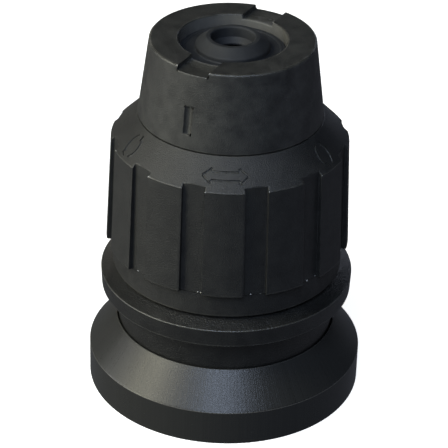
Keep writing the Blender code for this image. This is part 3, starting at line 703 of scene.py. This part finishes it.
def makeGripCollar(values):
    lip, bottom, landBottom = values["lip"], values["bottom"], values["landBottom"][1]
    bore, boreBottom = values["bore"]
    clipRadius, clipBottom = values["clipRoom"]
    tubeRadius, tubeTop = values["tubeRoom"]
    camRadius, camTop = values["camRoom"]
    skirtRadius, skirtTop = values["skirt"]
    collar = turned("grip_shell", [
        (bore, values["coneTop"][1], 0.2), (*values["coneTop"], 0.1), (*values["coneBottom"], 0.25),
        (*values["landBottom"], 0.4), (lip, landBottom, 0.2), (lip, bottom, 0.4), (skirtRadius, bottom, 0.2),
        (skirtRadius, skirtTop, 0), (camRadius, skirtTop, 0.2), (camRadius, camTop, 0),
        (tubeRadius, camTop, 0), (tubeRadius, tubeTop, 0.4), (clipRadius, clipBottom, 0.4),
        (clipRadius, boreBottom, 0), (bore, boreBottom, 0.2),
    ], loops=values["loops"])
    cutSlots(collar, values)
    engraveSigns(collar, values)
    addFlash(collar, values)
    return collar


finishPiece(makeGripCollar(collarValues), "grip", gripNylon, "black_nylon", "grip_collar")


sleeveValues = {
    "neck": 24.4, "rim": (28.4, 27.95), "band": (28.2, 23.8), "shoulder": 29.4, "groove": 23.5,
    "top": 38.8, "bottom": 13.2, "bore": 22.3,
    "seat": (18.5, 20.0, 27.9, 30.9),  # bore, bottom, inner top and outer top of the web on the pull tube
}


def makeReleaseSleeve(values):
    neck, bore, top, bottom = (values[key] for key in ("neck", "bore", "top", "bottom"))
    seat, seatBottom, innerTop, outerTop = values["seat"]
    return turned("release_spool", [
        (bore, top, 0.3), (neck, top, 0.4), (neck, values["shoulder"], 0.3), (*values["rim"], 0.2),
        (*values["band"], 0.35), (neck, values["groove"], 0.6), (neck, bottom, 0.3), (bore, bottom, 0.3),
        (bore, seatBottom, 0), (seat, seatBottom, 0.2), (seat, innerTop, 0.3), (bore, outerTop, 0.5),
    ])


finishPiece(makeReleaseSleeve(sleeveValues), "release", sleeveNylon, "black_nylon", "release_sleeve")


hoodValues = {
    "bore": 24.75, "top": 15.7, "flareTop": (24.95, 15.65), "rim": (31.0, 8.15), "rimInside": 28.0,
    "web": (17.3, 2.9, 5.9),  # its bore, bottom and top
    "loops": (8.6, 15.4, 0.8),
}


def makeRearHood(values):
    bore, inside = values["bore"], values["rimInside"]
    webBore, webBottom, webTop = values["web"]
    return turned("rear_hood", [
        (bore, values["top"], 0), (*values["flareTop"], 0.05), (*values["rim"], 0.18),
        (values["rim"][0], 0, 0.2), (inside, 0, 0.3), (inside, webBottom, 0.5), (webBore, webBottom, 0.2),
        (webBore, webTop, 0.2), (bore, webTop, 0.3),
    ], loops=values["loops"])


finishPiece(makeRearHood(hoodValues), "holder", acetal, "satin_black_plastic", "base_hood")


holderValues = {
    "bore": 5.2, "socket": 13.0, "barrel": 17.0, "neck": 9.5, "nose": 8.9, "chamfer": 0.8,
    "front": 80.1, "noseBottom": 67.6, "barrelTop": 50.4, "rear": 0.3, "throat": (7.5, 50.2),
    "socketEnd": (12.2, 46.4, 47.2),  # the flat's radius, then the heights of the chamfer's foot and the flat
    # grooves, each a floor radius and two heights
    "snapGroove": (7.7, 78.8, 77.5), "greaseGroove": (15.4, 26.95, 25.05), "upperClip": (16.0, 7.4, 6.1),
    "lowerClip": (16.0, 2.7, 1.4), "sealGroove": (14.5, 5.7, 8.3),
    "key": (3, 3, 30), "keyPlace": (5.4, 63), "spline": (4, 3.5, 22), "splinePlace": (12.7, 21),
    # holes, each a radius and a length, and then where its middle is
    "ballHole": (3.8, 9), "ballPlace": (7.5, 58.6), "couplingHole": (3.8, 10), "couplingPlace": (17, 42.95),
    "edge": 0.15,
}


def makeHolder(values):
    bore, socket, barrel, neck = (values[key] for key in ("bore", "socket", "barrel", "neck"))
    nose, front, rear, chamfer = (values[key] for key in ("nose", "front", "rear", "chamfer"))
    noseBottom, barrelTop = values["noseBottom"], values["barrelTop"]
    endRadius, endFoot, endFlat = values["socketEnd"]
    throatRadius, throatTop = values["throat"]
    holder = turned("holder_body", [
        (bore, front - chamfer, 0.1), (bore + chamfer, front, 0.1), (nose, front, 0.4),
        *ringGroove(nose, *values["snapGroove"]), (nose, noseBottom, 0), (neck, noseBottom, 0.2),
        (neck, barrelTop, 0.8), (barrel, barrelTop, 0.8), *ringGroove(barrel, *values["greaseGroove"]),
        *ringGroove(barrel, *values["upperClip"]), *ringGroove(barrel, *values["lowerClip"]),
        (barrel, rear, 0.3), (socket + chamfer, rear, 0.15), (socket, rear + chamfer, 0.15),
        *ringGroove(socket, *values["sealGroove"]), (socket, endFoot, 0.3), (endRadius, endFlat, 0.2),
        (throatRadius, endFlat, 0.5), (bore, throatTop, 0.8),
    ], segments=144, steps=3)
    keys = bmesh.new()
    for azimuth in (0, math.pi):
        blockTool(keys, values["key"], azimuth, *values["keyPlace"])
    carve(holder, keys, "UNION")
    holes = bmesh.new()
    for azimuth in (math.pi / 2, -math.pi / 2):
        drillTool(holes, *values["ballHole"], azimuth, *values["ballPlace"])
    for number in range(3):  # the coupling balls' holes
        drillTool(holes, *values["couplingHole"], math.radians(60 + 120 * number), *values["couplingPlace"])
    for number in range(6):  # the splines
        blockTool(holes, values["spline"], math.radians(60 * number), *values["splinePlace"])
    carve(holder, holes)
    softenEdges(holder, values["edge"])
    return holder


finishPiece(makeHolder(holderValues), "holder", blackOxide, "black_oxide_steel", "tool_holder")


ballValues = {
    "radius": 3.5,
    "bodies": {
        "lock_ball_1": "lock_ball_right", "lock_ball_2": "lock_ball_left",
        "coupling_ball_1": "coupling_ball_a", "coupling_ball_2": "coupling_ball_b",
        "coupling_ball_3": "coupling_ball_c",
    },
}


def makeBall(name, node, radius):
    low, high = (Vector(corner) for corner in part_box(node))
    shape = bmesh.new()
    middle = Matrix.Translation((low + high) / 2)
    bmesh.ops.create_icosphere(shape, subdivisions=4, radius=radius * mm, matrix=middle)
    return toObject(name, shape)


for node, body in ballValues["bodies"].items():
    ball = makeBall(node + "_lapped", node, ballValues["radius"])
    finishPiece(ball, body, lappedSteel, "ball_steel", node)


sealRingValues = {
    # the ring's radius, its section's radius and its height
    "socket": (13.25, 0.95, 7), "grease": (16.35, 0.6, 26),
}


def makeSealRing(name, ringRadius, section, height):
    # a square outline whose corners are rounded almost until they meet
    corners = [
        (ringRadius + section * side, height + section * rise, section * 0.98)
        for side, rise in ((-1, 1), (1, 1), (1, -1), (-1, -1))
    ]
    return turned(name, corners, segments=144)


socketRing = makeSealRing("socket_o_ring", *sealRingValues["socket"])
finishPiece(socketRing, "holder", rubber, "black_rubber", "socket_seal_ring")
greaseRing = makeSealRing("grease_o_ring", *sealRingValues["grease"])
finishPiece(greaseRing, "holder", rubber, "black_rubber", "grease_seal_ring")


springValues = {
    "coil": 20.2, "wire": 0.7, "turns": 3, "low": 7.3, "high": 18.4, "travel": 5.0,
    "perTurn": 60, "sides": 12,  # steps in a turn, and sides round the wire
}


def makeReturnSpring(values):
    # a ring of wire section carried up the helix
    wire = values["wire"]
    low, high = values["low"] + wire, values["high"] - wire
    count = values["turns"] * values["perTurn"]
    shape = bmesh.new()
    placed = Matrix.Translation(radial(0, values["coil"], low)) @ Matrix.Rotation(math.pi / 2, 4, "Y")
    start = bmesh.ops.create_circle(
        shape, cap_ends=True, segments=values["sides"], radius=wire * mm, matrix=placed
    )
    geometry = shape.faces[:] + shape.edges[:] + start["verts"]
    bmesh.ops.spin(
        shape, geom=geometry, cent=(0, 0, 0), axis=(0, 0, 1), dvec=(0, 0, (high - low) / count * mm),
        angle=math.tau * values["turns"], steps=count,
    )
    bmesh.ops.recalc_face_normals(shape, faces=shape.faces)
    return toObject("return_coil", shape)


spring = makeReturnSpring(springValues)
finishPiece(spring, "holder", springWire, "spring_steel", "return_spring")
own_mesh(spring)


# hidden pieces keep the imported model's shape and only take a finish
carried = {
    "front_stop_washer": groundSteel, "spring_seat_washer": groundSteel, "cam_ring": groundSteel,
    "pull_tube": groundSteel, "lock_ring": groundSteel, "nose_snap_ring": springWire,
    "collar_circlip": springWire, "detent_spring": springWire, "hood_circlip_lower": springWire,
    "hood_circlip_upper": springWire,
}
for name, material in carried.items():
    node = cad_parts[name]
    for slot in node.material_slots:
        slot.material = material
print("carried nodes painted")


stageValues = {
    "floorSide": 6.0, "floorColour": "#f4f4f2", "floorGlow": 0.9, "floorRoughness": 0.9,
    "bounceBase": "#000000", "bounceColour": "#e5ecff", "bounceGlow": 0.09,
    "ambient": "#8d97a3", "ambientStrength": 0.01, "backdropStrength": 1.05,
}
viewValues = {
    # degrees, metres and millimetres of lens; aimAside and aimBelow shift the aim by millimetres
    "azimuth": 27.5, "elevation": 30.1, "distance": 0.5006, "lens": 179.7, "roll": 1.657, "near": 0.05,
    "target": (0, 0, 0.042), "aimAside": -0.79, "aimBelow": 3.25,
}
lightValues = {
    # azimuth from the camera, elevation, distance, size, watts, colour
    "windowHigh": (-66, 48, 0.9, 0.42, 3.5, "#fffeee"),
    "windowLow": (-72, 28, 0.9, 0.42, 2.2, "#fff9dc"),
    "windowSill": (-70, 8, 0.9, 0.42, 2.1, "#fbfff0"),
    "windowEdge": (-94, 4, 0.9, 0.42, 1.7, "#ffffff"),
    "skyFront": (-3, 48, 0.9, 0.50, 4.4, "#d0e1ff"),
    "skyLow": (-15, 28, 0.9, 0.42, 0.3, "#d4f0ff"),
    "skyLeft": (-45, 34, 0.9, 0.42, 0.5, "#f8f7ff"),
    "bounceLeft": (-90, -20, 0.9, 0.42, 0.46, "#fbffeb"),
    "backLeft": (-165, -6, 0.9, 0.50, 0.7, "#fffaf0"),
    "backRight": (165, -6, 0.9, 0.50, 0.8, "#e3ebff"),
    "bounceRight": (95, -12, 0.9, 0.42, 0.3, "#ebebff"),
}


def outward(azimuth, elevation):
    # the direction from the chuck, for angles in degrees
    turn, rise = math.radians(azimuth), math.radians(elevation)
    return Vector((math.sin(turn) * math.cos(rise), -math.cos(turn) * math.cos(rise), math.sin(rise)))


def makeFloor(name, base, colour, glow, values):
    shape = bmesh.new()
    bmesh.ops.create_grid(shape, x_segments=1, y_segments=1, size=values["floorSide"] / 2)
    floor = toObject(name, shape)
    material, shader = newMaterial(name)
    shader.inputs["Base Color"].default_value = toLinear(base)
    shader.inputs["Roughness"].default_value = values["floorRoughness"]
    shader.inputs["Emission Color"].default_value = toLinear(colour)
    shader.inputs["Emission Strength"].default_value = glow
    floor.data.materials.append(material)
    floor.visible_shadow = False
    return floor


def makeFloors(values):
    # the pale floor is only seen, and the other, unseen, gives the chuck its softer glow from below
    pale = values["floorColour"]
    seen = makeFloor("paleFloor", pale, pale, values["floorGlow"], values)
    seen.visible_glossy = False
    seen.visible_diffuse = False
    base, colour = values["bounceBase"], values["bounceColour"]
    felt = makeFloor("floorBounce", base, colour, values["bounceGlow"], values)
    felt.visible_camera = False


def makeWorld(values):
    # a faint ambient light, with a pale backdrop that only the camera sees
    world = bpy.data.worlds.new("studio")
    world.use_nodes = True
    nodes, links = world.node_tree.nodes, world.node_tree.links
    background = nodes["Background"]
    background.inputs["Color"].default_value = toLinear(values["ambient"])
    background.inputs["Strength"].default_value = values["ambientStrength"]
    backdrop = nodes.new("ShaderNodeBackground")
    backdrop.inputs["Color"].default_value = toLinear(values["floorColour"])
    backdrop.inputs["Strength"].default_value = values["backdropStrength"]
    ray = nodes.new("ShaderNodeLightPath")
    choose = nodes.new("ShaderNodeMixShader")
    links.new(ray.outputs["Is Camera Ray"], choose.inputs[0])
    links.new(background.outputs[0], choose.inputs[1])
    links.new(backdrop.outputs[0], choose.inputs[2])
    links.new(choose.outputs[0], nodes["World Output"].inputs["Surface"])
    bpy.context.scene.world = world


def makeLights(values, view):
    target = Vector(view["target"])
    for name, (azimuth, elevation, distance, size, watts, colour) in values.items():
        lamp = bpy.data.lights.new(name, "AREA")
        lamp.shape = "DISK"
        lamp.size = size
        lamp.energy = watts
        lamp.color = toLinear(colour)[:3]
        holder = bpy.data.objects.new(name, lamp)
        direction = outward(view["azimuth"] + azimuth, elevation)
        holder.location = target + direction * distance
        holder.rotation_euler = direction.to_track_quat("Z", "Y").to_euler()
        bpy.context.scene.collection.objects.link(holder)


def makeCamera(view):
    camera = bpy.data.objects.new("camera", bpy.data.cameras.new("camera"))
    bpy.context.scene.collection.objects.link(camera)
    camera.data.lens = view["lens"]
    camera.data.clip_start = view["near"]
    direction = outward(view["azimuth"], view["elevation"])
    camera.location = Vector(view["target"]) + direction * view["distance"]
    facing = direction.to_track_quat("Z", "Y").to_matrix()
    right, up = facing.col[0], facing.col[1]
    aim = Vector(view["target"]) + (right * view["aimAside"] - up * view["aimBelow"]) * mm
    looking = (camera.location - aim).to_track_quat("Z", "Y").to_matrix()
    camera.rotation_euler = (looking @ Matrix.Rotation(math.radians(view["roll"]), 3, "Z")).to_euler()
    bpy.context.scene.camera = camera


makeFloors(stageValues)
makeWorld(stageValues)
makeLights(lightValues, viewValues)
makeCamera(viewValues)
bpy.context.scene.view_settings.view_transform = "Standard"
print("stage ready")
